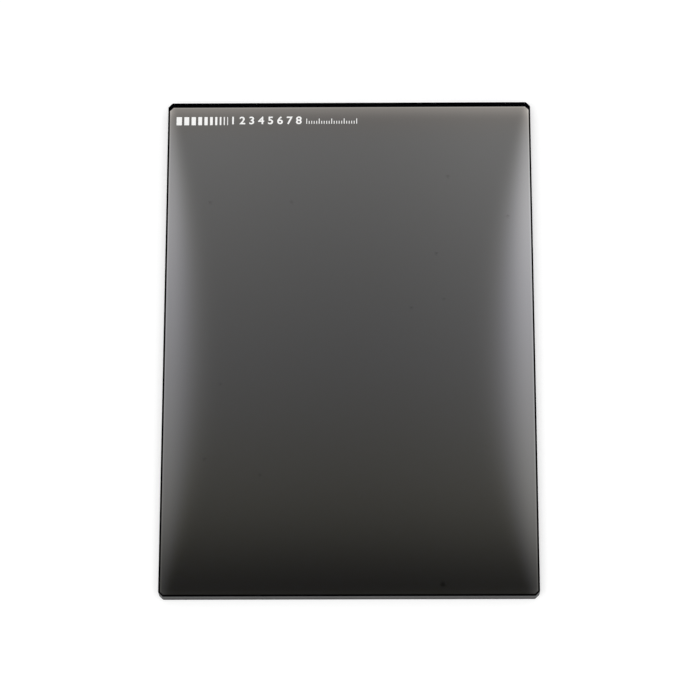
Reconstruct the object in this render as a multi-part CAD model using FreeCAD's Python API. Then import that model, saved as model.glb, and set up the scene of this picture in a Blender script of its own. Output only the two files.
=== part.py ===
import FreeCAD, Part
import os

# A rectangular neutral density filter: one sheet of optical glass for a matte box tray.
# Millimetres. The plate lies on its back face, with the origin at the middle of that face.
# +X runs across the plate, +Y along it towards the marked end, +Z out of the front face.

# The glass
plate_width = 101.6  # 4 inches, the side that fills the tray's width
plate_length = 143.5  # 5.65 inches, the side that slides into the tray
plate_thickness = 4.0

# The grinding
corner_cut = 1.2  # leg of the flat ground across each corner of the sheet
edge_bevel = 0.3  # leg of the 45 degree bevel that runs round both polished faces
face_blend = 0.3  # radius left at each corner of a polished face, inside the bevel


def upright_edges(shape):
    # The edges that run from the back face to the front face
    return [edge for edge in shape.Edges if edge.BoundBox.ZLength > plate_thickness / 2]


def face_edges(shape):
    # The edges that run round the back face and the front face
    return [edge for edge in shape.Edges if edge.BoundBox.ZLength < plate_thickness / 2]


def cut_sheet():
    # The sheet as it is sawn, centred across and along, with its back face at Z = 0
    corner = FreeCAD.Vector(-plate_width / 2, -plate_length / 2, 0)
    return Part.makeBox(plate_width, plate_length, plate_thickness, corner)


def grind_corners(sheet):
    # A flat across each corner, then a radius where each flat runs into a side.
    # The radius is larger than the bevel, so that the bevel keeps its width round it.
    side_blend = face_blend + edge_bevel
    flats = sheet.makeChamfer(corner_cut, upright_edges(sheet))
    return flats.makeFillet(side_blend, upright_edges(flats))


def grind_bevels(sheet):
    # One unbroken bevel round each face, over the sides, the corner flats and their radii
    return sheet.makeChamfer(edge_bevel, face_edges(sheet))


filter_plate = grind_bevels(grind_corners(cut_sheet()))

os.makedirs("parts", exist_ok=True)
filter_plate.exportStep("parts/filter_plate.step")

volume = filter_plate.Volume
box = filter_plate.BoundBox
print(f"filter_plate: valid {filter_plate.isValid()}, {len(filter_plate.Solids)} solid, "
      f"{len(filter_plate.Faces)} faces, {volume:.1f} mm3")
print(f"box: {box.XLength:.3f} x {box.YLength:.3f} x {box.ZLength:.3f} mm, bottom at Z = {box.ZMin:.3f}")
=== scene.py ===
from math import cos, log, radians, sin, sqrt, tan
import bmesh
import bpy
from mathutils import Matrix, Vector


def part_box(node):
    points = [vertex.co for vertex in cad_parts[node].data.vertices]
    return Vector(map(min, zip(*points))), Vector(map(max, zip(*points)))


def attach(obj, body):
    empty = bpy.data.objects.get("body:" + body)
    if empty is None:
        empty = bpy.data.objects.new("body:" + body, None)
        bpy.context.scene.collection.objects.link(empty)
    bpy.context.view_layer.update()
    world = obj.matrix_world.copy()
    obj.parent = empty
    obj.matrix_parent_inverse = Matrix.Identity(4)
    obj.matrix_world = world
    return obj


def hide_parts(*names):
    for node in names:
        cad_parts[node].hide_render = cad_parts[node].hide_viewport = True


# A glass neutral density filter lying on a pale studio floor, in metres

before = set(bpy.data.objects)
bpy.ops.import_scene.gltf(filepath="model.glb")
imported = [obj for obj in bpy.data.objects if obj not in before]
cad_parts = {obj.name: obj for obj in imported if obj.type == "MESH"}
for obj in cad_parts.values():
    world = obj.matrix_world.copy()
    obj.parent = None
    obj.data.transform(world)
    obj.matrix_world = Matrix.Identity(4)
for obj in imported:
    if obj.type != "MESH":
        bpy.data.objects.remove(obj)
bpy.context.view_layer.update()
plateLow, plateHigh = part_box("filter_plate")
plateSize = plateHigh - plateLow
mm = 0.001


# Node helpers

class Wire:
    # an output socket in plain arithmetic, where each sign adds a Math node
    def __init__(self, nodes, socket):
        self.nodes = nodes
        self.socket = socket

    def maths(self, operation, *values):
        return self.nodes.add("Math", {"operation": operation}, dict(enumerate(values)))

    def __add__(self, other):
        return self.maths("ADD", self, other)

    def __sub__(self, other):
        return self.maths("SUBTRACT", self, other)

    def __rsub__(self, other):
        return self.maths("SUBTRACT", other, self)

    def __mul__(self, other):
        return self.maths("MULTIPLY", self, other)

    def __truediv__(self, other):
        return self.maths("DIVIDE", self, other)

    __radd__ = __add__
    __rmul__ = __mul__

    def most(self, other):
        return self.maths("MAXIMUM", self, other)

    def unsigned(self):
        return self.maths("ABSOLUTE", self)

    def above(self, limit):
        return self.maths("GREATER_THAN", self, limit)

    def rise(self, start, end):
        # 0 at start and 1 at end, eased at both
        settings = {"interpolation_type": "SMOOTHSTEP"}
        return self.nodes.add("MapRange", settings, {"Value": self, "From Min": start, "From Max": end})

    def fade(self, reach):
        # a soft bell: 1 at zero, nearly gone at twice the reach
        share = self / reach
        return self.maths("EXPONENT", share * share * -1)


class Nodes:
    # the node tree of a material or of the world, cleared and wired up again
    def __init__(self, owner):
        owner.use_nodes = True
        self.tree = owner.node_tree
        self.tree.nodes.clear()

    def add(self, kind, settings=None, sockets=None, out=0):
        node = self.tree.nodes.new("ShaderNode" + kind)
        for name, value in (settings or {}).items():
            setattr(node, name, value)
        for name, value in (sockets or {}).items():
            if isinstance(value, Wire):
                self.tree.links.new(value.socket, node.inputs[name])
            else:
                node.inputs[name].default_value = value
        return Wire(self, node.outputs[out]) if node.outputs else node

    def coords(self, kind="Object"):
        return self.add("TexCoord", out=kind)

    def place(self, axis, kind="Object"):
        return self.add("SeparateXYZ", None, {"Vector": self.coords(kind)}, out=axis)

    def noise(self, scale, detail, stretch=(1, 1, 1)):
        place = self.add("Mapping", None, {"Vector": self.coords(), "Scale": stretch})
        return self.add("TexNoise", None, {"Vector": place, "Scale": scale, "Detail": detail})

    def ray(self, kind):
        return self.add("LightPath", out="Is " + kind + " Ray")

    def blend(self, factor, first, second):
        colours = {0: factor, 6: first, 7: second}
        return self.add("Mix", {"data_type": "RGBA"}, colours, out=2)

    def bump(self, height, strength, depth):
        return self.add("Bump", None, {"Height": height, "Strength": strength, "Distance": depth})

    def surface(self, shader, kind="OutputMaterial"):
        self.add(kind, None, {"Surface": shader})


def rgb(red, green, blue):
    return (red, green, blue, 1)


# Materials

glassLook = {
    "density": rgb(0.258, 0.257, 0.253),  # share of light that passes, a two stop grey
    "densityWarm": rgb(0.263, 0.259, 0.251),  # the coating's slight drift over the plate
    "driftScale": 14,
    "reflection": rgb(0.1, 0.11, 0.2),  # what is left by the anti-reflection coating, bluish
    "bend": 1.5,
    "wipedClean": 0.0,  # roughness where the glass is clean
    "wipeMarks": 0.05,  # roughness in the faint marks of a cloth
    "wipeScale": 60,
    "wipeStretch": (0.25, 1, 1),
    "wipeFrom": (0.45, 0.8),  # noise from which a mark starts, and at which it is full
    "patchScale": 18,
    "patchFrom": (0.5, 0.75),
}


def coatedGlass():
    material = bpy.data.materials.new("coatedGlass")
    nodes = Nodes(material)
    drift = nodes.noise(glassLook["driftScale"], 2)
    streaks = nodes.noise(glassLook["wipeScale"], 4, glassLook["wipeStretch"])
    patches = nodes.noise(glassLook["patchScale"], 2)
    marks = streaks.rise(*glassLook["wipeFrom"]) * patches.rise(*glassLook["patchFrom"])
    glass = nodes.add("BsdfPrincipled", None, {
        "Base Color": nodes.blend(drift, glassLook["density"], glassLook["densityWarm"]),
        "Roughness": marks * glassLook["wipeMarks"] + glassLook["wipedClean"],
        "IOR": glassLook["bend"],
        "Specular Tint": glassLook["reflection"],
        "Transmission Weight": 1.0,
    })
    nodes.surface(glass)
    return material


edgeLook = {
    "black": rgb(0.001, 0.001, 0.0012),
    "worn": rgb(0.004, 0.004, 0.0045),
    "grain": 1600,  # ground glass under the lacquer
    "grainStrength": 0.5,
    "grainDepth": 0.012 * mm,
    "patchScale": 90,
    "patchFrom": (0.5, 0.8),  # noise from which the lacquer is worn, and fully worn
    "grainFrom": (0.4, 0.7),
    # shine, then the smoothest and the roughest lacquer
    "outside": (0.11, 0.18, 0.32),
    "inside": (0.0, 0.6, 0.75),  # bonded to the glass, so it mirrors nothing
    "creep": 0.06 * mm,  # how far the blacking creeps onto the polished faces
    "thickness": 0.02 * mm,
    "rubbed": 0.3 * mm,  # how far the outer lacquer stays below the bevel
}


def edgeBlacking(name, finish):
    material = bpy.data.materials.new(name)
    nodes = Nodes(material)
    shine, smoothest, roughest = finish
    grain = nodes.noise(edgeLook["grain"], 3)
    patches = nodes.noise(edgeLook["patchScale"], 3)
    worn = patches.rise(*edgeLook["patchFrom"]) * grain.rise(*edgeLook["grainFrom"])
    lacquer = nodes.add("BsdfPrincipled", None, {
        "Base Color": nodes.blend(worn, edgeLook["black"], edgeLook["worn"]),
        "Roughness": patches * (roughest - smoothest) + smoothest,
        "Specular IOR Level": shine,
        "Normal": nodes.bump(grain, edgeLook["grainStrength"], edgeLook["grainDepth"]),
    })
    nodes.surface(lacquer)
    return material


inkLook = {
    "white": rgb(0.93, 0.93, 0.92),
    "thin": rgb(0.8, 0.8, 0.79),  # where the screen left less ink
    "roughness": 0.5,
    "thinRoughness": 0.65,
    "screen": 5200,
    "thinFrom": (0.55, 0.8),  # noise from which the ink thins, and is thinnest
    "reliefStrength": 0.4,
    "relief": 0.003 * mm,
}


def whiteInk():
    material = bpy.data.materials.new("whiteInk")
    nodes = Nodes(material)
    screenGrain = nodes.noise(inkLook["screen"], 2)
    thin = screenGrain.rise(*inkLook["thinFrom"])
    ink = nodes.add("BsdfPrincipled", None, {
        "Base Color": nodes.blend(thin, inkLook["white"], inkLook["thin"]),
        "Roughness": thin * (inkLook["thinRoughness"] - inkLook["roughness"]) + inkLook["roughness"],
        "Normal": nodes.bump(screenGrain, inkLook["reliefStrength"], inkLook["relief"]),
    })
    nodes.surface(ink)
    return material


# Meshes

weldReach = 0.0005 * mm


def finishPiece(name, mesh, materials, softAngle=30):
    bmesh.ops.remove_doubles(mesh, verts=mesh.verts, dist=weldReach)
    bmesh.ops.recalc_face_normals(mesh, faces=mesh.faces)
    for edge in mesh.edges:
        edge.smooth = edge.calc_face_angle(0) < radians(softAngle)
    for face in mesh.faces:
        face.smooth = True
    data = bpy.data.meshes.new(name)
    mesh.to_mesh(data)
    mesh.free()
    for material in materials:
        data.materials.append(material)
    piece = bpy.data.objects.new(name, data)
    bpy.context.scene.collection.objects.link(piece)
    return piece


plate = {
    "cornerCut": 1.2 * mm,  # flat ground across each corner
    "faceBlend": 0.3 * mm,  # corner radius of the polished face
    "edgeBevel": 0.3 * mm,
    "blendSegments": 5,
    "polishedTilt": 0.99,  # the normal of a polished face points up or down by more than this
    "wallTilt": 0.01,  # and that of a wall by less than this
}


def bevelEdges(mesh, edges, offset, segments=1):
    bmesh.ops.bevel(mesh, geom=edges, offset=offset, offset_type="OFFSET", affect="EDGES",
                    segments=segments, profile=0.5, material=-1)


def edgeHeight(edge):
    return abs(edge.verts[0].co.z - edge.verts[1].co.z)


def uprightEdges(mesh):
    return [edge for edge in mesh.edges if edgeHeight(edge) > plateSize.z / 2]


def makeFilterPlate():
    mesh = bmesh.new()
    middle = Matrix.Translation((plateLow + plateHigh) / 2)
    bmesh.ops.create_cube(mesh, size=1, matrix=middle @ Matrix.Diagonal((*plateSize, 1)))
    bevelEdges(mesh, uprightEdges(mesh), plate["cornerCut"])
    sideBlend = plate["faceBlend"] + plate["edgeBevel"]
    bevelEdges(mesh, uprightEdges(mesh), sideBlend * tan(radians(45 / 2)), plate["blendSegments"])
    flat = [edge for edge in mesh.edges if edgeHeight(edge) < plate["edgeBevel"]]
    bevelEdges(mesh, flat, plate["edgeBevel"])
    lacquer = mesh.copy()
    polished = [face for face in mesh.faces if abs(face.normal.z) > plate["polishedTilt"]]
    bmesh.ops.inset_region(mesh, faces=polished, thickness=edgeLook["creep"], depth=0,
                           use_boundary=True, use_even_offset=True)
    for face in mesh.faces:
        face.material_index = 0 if face in polished else 1
    inside = edgeBlacking("insideBlacking", edgeLook["inside"])
    piece = finishPiece("filterPlate", mesh, [coatedGlass(), inside])
    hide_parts("filter_plate")
    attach(piece, "root")
    makeEdgeLacquer(lacquer)


def makeEdgeLacquer(mesh):
    # the outside of the blacking: the upright walls of the plate, just clear of the glass
    slanted = [face for face in mesh.faces if abs(face.normal.z) > plate["wallTilt"]]
    bmesh.ops.delete(mesh, geom=slanted, context="FACES")
    mesh.normal_update()
    top = plateHigh.z - plate["edgeBevel"] - edgeLook["rubbed"]
    for vert in mesh.verts:
        vert.co += vert.normal * edgeLook["thickness"]
        vert.co.z = min(vert.co.z, top)
    outside = edgeBlacking("outsideBlacking", edgeLook["outside"])
    piece = finishPiece("edgeLacquer", mesh, [outside])
    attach(piece, "root")


marking = {
    "inkHeight": 0.012 * mm,
    "inkFoot": 0.004 * mm,  # how far the ink's underside is let into the glass
    "softCorner": 0.06 * mm,
    "barsLeft": -48.4 * mm,
    "barsBottom": 64.9 * mm,
    "barHeight": 2.5 * mm,
    "barWidths": [1.5, 1.35, 1.2, 1.05, 0.9, 0.75, 0.6, 0.45, 0.3, 0.2],  # in mm
    "barGap": 0.68 * mm,
    "digits": "1 2 3 4 5 6 7 8",
    "digitWeight": 0.02,
    "digitsLeft": -32.8 * mm,
    "digitsBottom": 65.1 * mm,
    "digitsWide": 19.5 * mm,
    "digitsHigh": 2.4 * mm,
    "ticksLeft": -12.0 * mm,
    "ticksBottom": 65.2 * mm,
    "tickCount": 21,
    "tickPitch": 0.7 * mm,
    "tickWide": 0.22 * mm,
    "tickShort": 0.9 * mm,
    "tickTall": 1.6 * mm,
    "tallEvery": 5,
}


def addBar(mesh, left, bottom, wide, high):
    top = plateHigh.z + marking["inkHeight"]
    foot = plateHigh.z - marking["inkFoot"]
    place = Matrix.Translation((left + wide / 2, bottom + high / 2, (top + foot) / 2))
    shape = place @ Matrix.Diagonal((wide, high, top - foot, 1))
    made = bmesh.ops.create_cube(mesh, size=1, matrix=shape)
    corners = {edge for vert in made["verts"] for edge in vert.link_edges
               if (edge.verts[0].co - edge.verts[1].co).xy.length < marking["softCorner"] / 2}
    bevelEdges(mesh, list(corners), min(marking["softCorner"], wide / 3), 2)


def addDigits(mesh):
    letters = bpy.data.curves.new("scaleDigits", "FONT")
    letters.body = marking["digits"]
    letters.extrude = 0.5
    letters.offset = marking["digitWeight"]
    writer = bpy.data.objects.new("scaleDigits", letters)
    bpy.context.scene.collection.objects.link(writer)
    bpy.context.view_layer.update()
    shape = bpy.data.meshes.new_from_object(writer.evaluated_get(bpy.context.evaluated_depsgraph_get()))
    bpy.data.objects.remove(writer)
    corners = [vert.co for vert in shape.vertices]
    low = Vector(min(corner[axis] for corner in corners) for axis in range(3))
    high = Vector(max(corner[axis] for corner in corners) for axis in range(3))
    span = high - low
    thick = marking["inkHeight"] + marking["inkFoot"]
    size = (marking["digitsWide"], marking["digitsHigh"], thick)
    scale = Matrix.Diagonal((*(size[axis] / span[axis] for axis in range(3)), 1))
    foot = Vector((marking["digitsLeft"], marking["digitsBottom"], plateHigh.z - marking["inkFoot"]))
    shape.transform(Matrix.Translation(foot) @ scale @ Matrix.Translation(-low))
    mesh.from_mesh(shape)
    bpy.data.meshes.remove(shape)


def makeMarking():
    mesh = bmesh.new()
    left = marking["barsLeft"]
    for wide in marking["barWidths"]:
        addBar(mesh, left, marking["barsBottom"], wide * mm, marking["barHeight"])
        left += wide * mm + marking["barGap"]
    for tick in range(marking["tickCount"]):
        left = marking["ticksLeft"] + tick * marking["tickPitch"]
        high = marking["tickShort"] if tick % marking["tallEvery"] else marking["tickTall"]
        addBar(mesh, left, marking["ticksBottom"], marking["tickWide"], high)
    addDigits(mesh)
    piece = finishPiece("faceMarking", mesh, [whiteInk()])
    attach(piece, "root")


dust = {
    # places in mm, read one by one
    "heavyPlace": (25.0, -68.7),
    "faintPlaces": [
        (27.5, 49), (44, 37), (24, 26), (26, 12.5), (17, 10),
        (-16, 41.5), (-38.5, 41.5), (-35, -12), (-39, -33.5), (-24, -38),
    ],
    # clump: spread in mm, number of grains, half the width of a grain in mm
    "heavy": (0.45, 30, 0.118),
    "faint": (0.28, 11, 0.062),
    "turn": 2.4,  # from one grain of a clump to the next, in radians
    "flatness": 0.4,  # height of a grain against its width
    "lumps": 0.3,
    # lumps round a grain, and how fast they shift with its place on the plate
    "lumpsAcross": (3.1, 900),
    "lumpsAlong": (4.3, 700),
    "dark": rgb(0.001, 0.001, 0.001),
    "pale": rgb(0.004, 0.0038, 0.0035),
    "fluffScale": 9000,
    "smoothest": 0.7,
    "roughest": 0.9,
    "shine": 0.04,
}


def dustFibre():
    material = bpy.data.materials.new("dustFibre")
    nodes = Nodes(material)
    fluff = nodes.noise(dust["fluffScale"], 3)
    grain = nodes.add("BsdfPrincipled", None, {
        "Base Color": nodes.blend(fluff, dust["dark"], dust["pale"]),
        "Roughness": fluff * (dust["roughest"] - dust["smoothest"]) + dust["smoothest"],
        "Specular IOR Level": dust["shine"],
    })
    nodes.surface(grain)
    return material


def addGrain(mesh, across, along, size):
    made = bmesh.ops.create_icosphere(mesh, subdivisions=1, radius=1)
    lumpsAcross, shiftAcross = dust["lumpsAcross"]
    lumpsAlong, shiftAlong = dust["lumpsAlong"]
    for vert in made["verts"]:
        lump = sin(lumpsAcross * vert.co.x + shiftAcross * across)
        lump *= cos(lumpsAlong * vert.co.y + shiftAlong * along)
        vert.co *= 1 + dust["lumps"] * lump
    high = size * dust["flatness"]
    place = Matrix.Translation((across, along, plateHigh.z + high / 3))
    shape = place @ Matrix.Diagonal((size, size, high, 1))
    bmesh.ops.transform(mesh, verts=made["verts"], matrix=shape)


def addClump(mesh, place, clump):
    # grains lie on a spiral, thick in the middle of a clump and thin around it
    across, along = place
    spread, count, size = clump
    for grain in range(count):
        away = spread * sqrt(-2 * log(1 - (grain + 0.5) / count))
        angle = grain * dust["turn"]
        addGrain(mesh, (across + away * cos(angle)) * mm, (along + away * sin(angle)) * mm, size * mm)


def makeDust():
    mesh = bmesh.new()
    addClump(mesh, dust["heavyPlace"], dust["heavy"])
    for place in dust["faintPlaces"]:
        addClump(mesh, place, dust["faint"])
    piece = finishPiece("dustGrains", mesh, [dustFibre()])
    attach(piece, "root")


# Studio

floorLook = {
    "size": 8.0,
    "drop": 0.1 * mm,
    "colour": rgb(0.62, 0.62, 0.62),
    "lift": 0.44,  # how far the floor is lifted to white where the eye or a mirror meets it
    "paintedShadowReach": 1.0 * mm,  # painted contact shadow: mirrors see the floor dim up to the plate over this distance
}


def makeFloor():
    mesh = bmesh.new()
    bmesh.ops.create_grid(mesh, x_segments=4, y_segments=4, size=floorLook["size"] / 2,
                          matrix=Matrix.Translation((0, 0, plateLow.z - floorLook["drop"])))
    material = bpy.data.materials.new("paleFloor")
    nodes = Nodes(material)
    besideX = nodes.place("X").unsigned() - plateSize.x / 2
    besideY = nodes.place("Y").unsigned() - plateSize.y / 2
    # painted shadow: for mirrored rays the floor's lift fades out up to the plate
    clear = besideX.most(besideY).rise(0, floorLook["paintedShadowReach"])
    seen = nodes.ray("Camera").most(nodes.ray("Glossy") * clear)
    cover = nodes.add("BsdfDiffuse", None, {"Color": floorLook["colour"]})
    lift = nodes.add("Emission", None, {"Strength": seen * floorLook["lift"]})
    nodes.surface(nodes.add("AddShader", None, {0: cover, 1: lift}))
    finishPiece("studioFloor", mesh, [material])


# Painted light and shade: a glowing card under the plate, no lamp, seen only through the glass, whose
# painted levels stand for the shaded and lit floor beneath
underlight = {
    "middle": 0.261,  # level under the middle of the plate
    "slope": 2.42,  # painted rise of the level for each metre towards the marked end
    "nearPaintedShade": 0.57,  # painted shade: share that is lost at the near edge
    "nearReach": 17 * mm,
    "nearLip": (0.35, 1.2 * mm, 1.2 * mm),  # painted glow inside the near edge: share, place, reach
    "thinLip": (0.25, 0.48 * mm, 0.2 * mm),  # painted thin light line inside the side and far edges
    "thinLipLevel": 0.08,
    # painted glow along the far edge, and a wide painted haze from it
    "farGlow": 0.69,
    "farReach": 2.6 * mm,
    "farHaze": 0.13,
    "farHazeReach": 40 * mm,
    # side: strength and reach of the painted glow, strength of the wide painted haze inside it
    "sides": {
        -1: (2.45, 7.4 * mm, 0.09),
        1: (3.46, 8.1 * mm, 0.24),
    },
    "hazeReach": 30 * mm,
    "glowMiddle": -10 * mm,  # the glow is widest here and narrows to both ends
    "glowNear": 69 * mm,
    "glowFar": 88.5 * mm,
    "glowThinnest": 0.05,
    "cornerPaintedShade": 0.62,  # painted shade: share of the glow that is lost at the far corners
    "cornerReach": 25 * mm,
    "fullGlow": 1.6,  # glow at which its tints are full
    # tints of the painted light
    "plain": rgb(1, 1, 1.01),
    "low": rgb(1.03, 1, 0.85),  # towards the near edge
    "lowReach": 70 * mm,
    "lowInGlow": 0.7,  # share of that tint that is lost in the side glow
    "cool": rgb(0.98, 0.98, 1.05),  # in the side glow
    "coolMiddle": 12 * mm,
    "coolReach": 45 * mm,
    "warm": rgb(1.05, 0.99, 0.95),  # along the far edge
    "warmReach": 7 * mm,
}


def endFalls(fromNear, fromFar):
    # painted shade and glow: how the level changes towards the near and the far end
    near = 1 - fromNear.fade(underlight["nearReach"]) * underlight["nearPaintedShade"]
    share, place, reach = underlight["nearLip"]
    lip = (fromNear - place).fade(reach) * share + 1
    far = fromFar.fade(underlight["farReach"]) * underlight["farGlow"] + 1
    far = fromFar.fade(underlight["farHazeReach"]) * underlight["farHaze"] + far
    return near * lip * far


def sideGlow(across, along, fromFar):
    # the painted glow along both sides, 1 where there is none
    off = along - underlight["glowMiddle"]
    farther = underlight["glowFar"] - underlight["glowNear"]
    share = off / (off.above(0) * farther + underlight["glowNear"])
    narrowing = (1 - share * share).most(underlight["glowThinnest"])
    dim = 1 - fromFar.fade(underlight["cornerReach"]) * underlight["cornerPaintedShade"]
    glow = 1
    for side, (strength, reach, haze) in underlight["sides"].items():
        inward = plateSize.x / 2 - across * side
        glow = (inward / narrowing).fade(reach) * dim * strength + glow
        glow = inward.fade(underlight["hazeReach"]) * haze + glow
    return glow


def thinLines(across, fromFar):
    # 1 in the painted thin light lines inside the side and far edges
    place, reach = underlight["thinLip"][1:]
    lines = (fromFar - place).fade(reach)
    for side in underlight["sides"]:
        lines = (plateSize.x / 2 - across * side - place).fade(reach) + lines
    return lines


def paintedUnderlightTint(nodes, along, fromFar, glow):
    bright = (glow - 1).rise(0, underlight["fullGlow"])
    low = (0 - along).rise(0, underlight["lowReach"]) * (1 - bright * underlight["lowInGlow"])
    cool = bright * (along - underlight["coolMiddle"]).fade(underlight["coolReach"])
    warm = fromFar.fade(underlight["warmReach"])
    colour = nodes.blend(low, underlight["plain"], underlight["low"])
    colour = nodes.blend(cool, colour, underlight["cool"])
    return nodes.blend(warm, colour, underlight["warm"])


def makePaintedUnderlight():
    # painted light and shade on a card that glows though it is no lamp: the light that reaches the eye
    # through the glass, soft and grey, brighter along the sides
    mesh = bmesh.new()
    depth = Matrix.Translation((0, 0, plateLow.z - floorLook["drop"] / 2))
    bmesh.ops.create_grid(mesh, x_segments=1, y_segments=1, size=0.5,
                          matrix=depth @ Matrix.Diagonal((plateSize.x, plateSize.y, 1, 1)))
    material = bpy.data.materials.new("softPaintedUnderlight")
    nodes = Nodes(material)
    across = nodes.place("X")
    along = nodes.place("Y")
    fromNear = along + plateSize.y / 2
    fromFar = plateSize.y / 2 - along
    glow = sideGlow(across, along, fromFar)
    lines = thinLines(across, fromFar)
    level = along * underlight["slope"] + underlight["middle"]
    level = level * endFalls(fromNear, fromFar) * glow
    level = level * (lines * underlight["thinLip"][0] + 1) + lines * underlight["thinLipLevel"]
    colour = paintedUnderlightTint(nodes, along, fromFar, glow)
    nodes.surface(nodes.add("Emission", None, {"Color": colour, "Strength": level}))
    card = finishPiece("softPaintedUnderlight", mesh, [material])
    for way in ("camera", "diffuse", "glossy", "volume_scatter", "shadow"):
        setattr(card, "visible_" + way, False)


studioLight = {
    # lamp: power in watts, place
    "lamps": {
        "keyLamp": (8.0, (-0.45, -0.45, 1.5)),
        "fillLamp": (6.0, (0.45, -0.45, 1.5)),
    },
    "lampSize": 1.0,
    "skyLevel": 0.74,
    "ceiling": 0.2,  # what shiny faces meet straight overhead
    "ceilingRise": 0.8,  # height in the sky from which it is met in full
}


def makeLamp(name, power, place):
    data = bpy.data.lights.new(name, "AREA")
    data.energy = power
    data.shape = "DISK"
    data.size = studioLight["lampSize"]
    lamp = bpy.data.objects.new(name, data)
    lamp.location = place
    lamp.rotation_euler = Vector(place).to_track_quat("Z", "Y").to_euler()
    lamp.visible_glossy = False  # no discs mirrored in the glass, at its top or its underside
    lamp.visible_transmission = False
    bpy.context.scene.collection.objects.link(lamp)


def makeSky():
    world = bpy.data.worlds.new("studioWorld")
    bpy.context.scene.world = world
    nodes = Nodes(world)
    overhead = nodes.place("Z", "Generated").rise(0, studioLight["ceilingRise"])
    overhead = overhead * (studioLight["ceiling"] - 1) + 1
    mirrored = nodes.ray("Glossy")
    seen = nodes.ray("Camera").most(nodes.ray("Transmission"))
    lit = (1 - mirrored) * studioLight["skyLevel"] + mirrored * overhead
    level = (1 - seen) * lit + seen
    nodes.surface(nodes.add("Background", None, {"Strength": level}), "OutputWorld")


def makeStudio():
    makeFloor()
    makePaintedUnderlight()
    for name, (power, place) in studioLight["lamps"].items():
        makeLamp(name, power, place)
    makeSky()


# Camera

camera = {
    "lens": 165,
    "sensor": 36,
    "distance": 0.8804,
    "elevation": 69.99,
    "azimuth": 1.603,
    "roll": -1.69,
    "target": (0.22 * mm, -0.85 * mm, 0),
}


def makeCamera():
    data = bpy.data.cameras.new("studioCamera")
    data.lens = camera["lens"]
    data.sensor_width = camera["sensor"]
    turn, rise, roll = (radians(camera[name]) for name in ("azimuth", "elevation", "roll"))
    back = Vector((sin(turn) * cos(rise), -cos(turn) * cos(rise), sin(rise)))
    level = Vector((cos(turn), sin(turn), 0))
    right = level * cos(roll) + back.cross(level) * sin(roll)
    axes = Matrix((right, back.cross(right), back)).transposed().to_4x4()
    place = Vector(camera["target"]) + back * camera["distance"]
    eye = bpy.data.objects.new("studioCamera", data)
    eye.matrix_world = Matrix.Translation(place) @ axes
    bpy.context.scene.collection.objects.link(eye)
    bpy.context.scene.camera = eye


makeCamera()
print("camera set")
makeFilterPlate()
print("filter plate made")
makeMarking()
print("face marking made")
makeDust()
print("dust made")
makeStudio()
print("studio made")
bpy.context.scene.view_settings.view_transform = "Standard"
